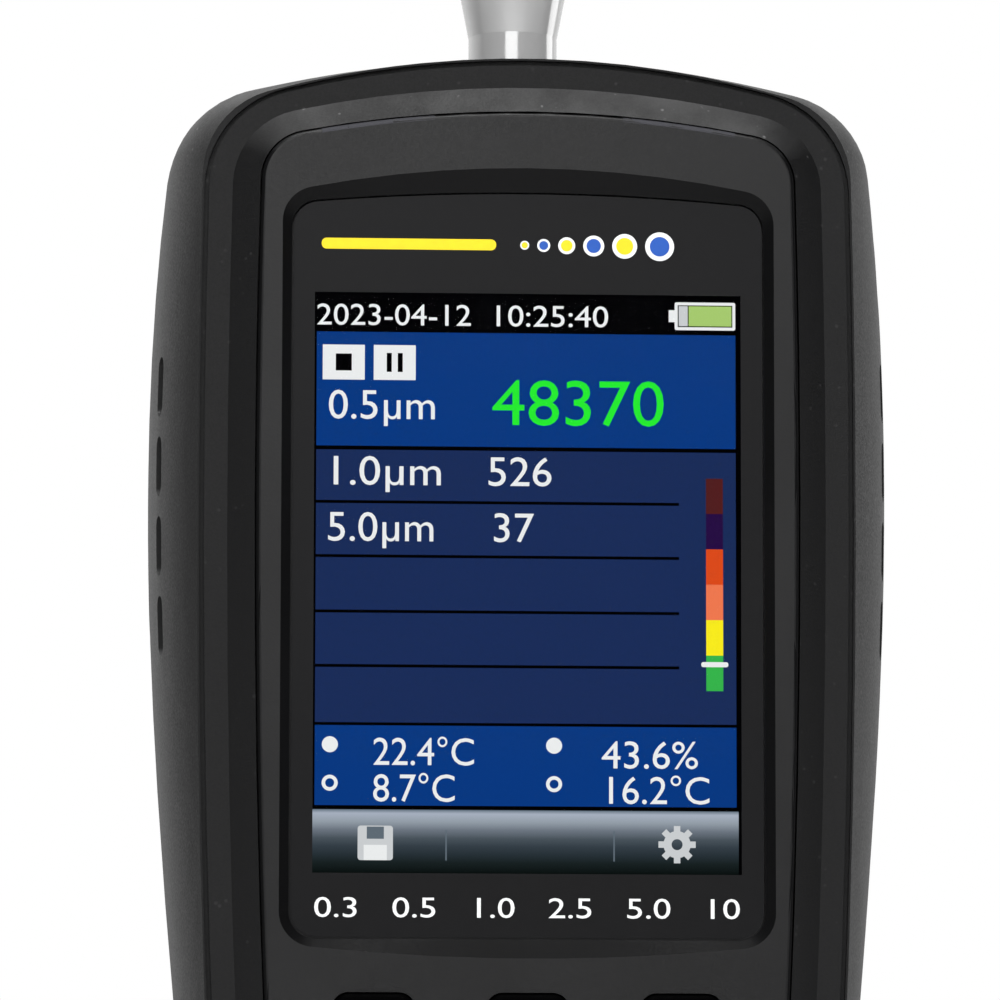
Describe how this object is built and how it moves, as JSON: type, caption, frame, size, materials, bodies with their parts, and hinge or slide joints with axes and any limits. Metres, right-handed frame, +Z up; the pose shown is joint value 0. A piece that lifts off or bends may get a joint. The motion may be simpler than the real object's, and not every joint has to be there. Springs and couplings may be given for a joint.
{
  "type": "airborne particle counter",
  "caption": "Handheld airborne particle counter with a flared metal air inlet on top, a colour display, rubber keys, side vents and a screwed rear battery cover; stands on its flat base",
  "frame": {"origin": "middle of the footprint on the surface that the instrument stands on", "axes": "+Z up along the instrument towards the inlet, -Y out of the display, +X to the right seen from the front"},
  "size_m": [0.0752, 0.0578, 0.24],
  "materials": {
    "hard_case": "fine matt texture",
    "soft_skin": "soft-touch, dusty",
    "key_rubber": "satin",
    "seal_rubber": "matt",
    "window": "polished, smoked",
    "display": "dark glass front",
    "foam": "foam",
    "board": "solder mask",
    "chip": "matt",
    "white_plastic": "natural",
    "polished_steel": "polished",
    "screw_steel": "zinc plated",
    "aluminium": "machined, black anodised",
    "brass": "turned",
    "silicone": "translucent silicone",
    "copper_ribbon": "polyimide",
    "motor_can": "plated",
    "sleeve": "shrink sleeve",
    "black_nylon": "moulded"
  },
  "bodies": {
    "case": {"front_housing": "hard_case", "front_overmold": "soft_skin", "rear_housing": "hard_case", "housing_seal": "seal_rubber", "display_window": "window", "display_panel": "display", "display_cushion": "foam", "display_ribbon": "copper_ribbon", "ribbon_socket": "white_plastic", "keypad_mat": "silicone", "main_board": "board", "board_screws": "screw_steel", "board_chips": "chip", "board_sockets": "white_plastic", "air_sensor": "white_plastic", "buzzer": "black_nylon", "inlet_fitting": "polished_steel", "inlet_nut": "screw_steel", "inlet_hose": "silicone", "sensor_block": "aluminium", "sensor_lid": "aluminium", "laser_module": "brass", "detector_board": "board", "sensor_screws": "screw_steel", "outlet_hose": "silicone", "pump_motor": "motor_can", "pump_head": "black_nylon", "pump_saddle": "foam", "exhaust_filter": "white_plastic", "exhaust_hose": "silicone", "battery_pack": "sleeve", "battery_cover": "hard_case", "cover_screw": "screw_steel", "housing_screws": "screw_steel", "usb_socket": "screw_steel", "card_socket": "screw_steel", "port_board": "board", "port_screws": "screw_steel", "tripod_insert": "brass"},
    "key_f1_body": {"key_f1": "key_rubber"},
    "key_f2_body": {"key_f2": "key_rubber"},
    "key_f3_body": {"key_f3": "key_rubber"},
    "key_escape_body": {"key_escape": "key_rubber"},
    "key_up_body": {"key_up": "key_rubber"},
    "key_power_body": {"key_power": "key_rubber"},
    "key_enter_body": {"key_enter": "key_rubber"},
    "key_down_body": {"key_down": "key_rubber"},
    "flap_body": {"port_flap": "seal_rubber"},
    "washer_body": {"inlet_washer": "seal_rubber"},
    "probe_body": {"inlet_probe": "polished_steel"}
  },
  "joints": [
    {"name": "key_f1_press", "type": "slide", "parent": "case", "child": "key_f1_body", "axis": [0, 1, 0], "range_m": [0, 0.0008], "stiffness_N_per_m": 900, "springref_m": -0.0006},
    {"name": "key_f2_press", "type": "slide", "parent": "case", "child": "key_f2_body", "axis": [0, 1, 0], "range_m": [0, 0.0008], "stiffness_N_per_m": 900, "springref_m": -0.0006},
    {"name": "key_f3_press", "type": "slide", "parent": "case", "child": "key_f3_body", "axis": [0, 1, 0], "range_m": [0, 0.0008], "stiffness_N_per_m": 900, "springref_m": -0.0006},
    {"name": "key_escape_press", "type": "slide", "parent": "case", "child": "key_escape_body", "axis": [0, 1, 0], "range_m": [0, 0.0008], "stiffness_N_per_m": 900, "springref_m": -0.0006},
    {"name": "key_up_press", "type": "slide", "parent": "case", "child": "key_up_body", "axis": [0, 1, 0], "range_m": [0, 0.0008], "stiffness_N_per_m": 900, "springref_m": -0.0006},
    {"name": "key_power_press", "type": "slide", "parent": "case", "child": "key_power_body", "axis": [0, 1, 0], "range_m": [0, 0.0008], "stiffness_N_per_m": 900, "springref_m": -0.0006},
    {"name": "key_enter_press", "type": "slide", "parent": "case", "child": "key_enter_body", "axis": [0, 1, 0], "range_m": [0, 0.0008], "stiffness_N_per_m": 900, "springref_m": -0.0006},
    {"name": "key_down_press", "type": "slide", "parent": "case", "child": "key_down_body", "axis": [0, 1, 0], "range_m": [0, 0.0008], "stiffness_N_per_m": 900, "springref_m": -0.0006},
    {"name": "flap_hinge", "type": "hinge", "parent": "case", "child": "flap_body", "pos_m": [-0.0372, 0.0093, 0.163], "axis": [0, 0, -1], "range_deg": [0, 100]},
    {"name": "probe_lift", "type": "slide", "parent": "case", "child": "washer_body", "axis": [0, 0, 1], "range_m": [0, 0.0075]},
    {"name": "probe_turn", "type": "hinge", "parent": "washer_body", "child": "probe_body", "pos_m": [0, 0, 0.2125], "axis": [0, 0, 1], "continuous": true}
  ]
}
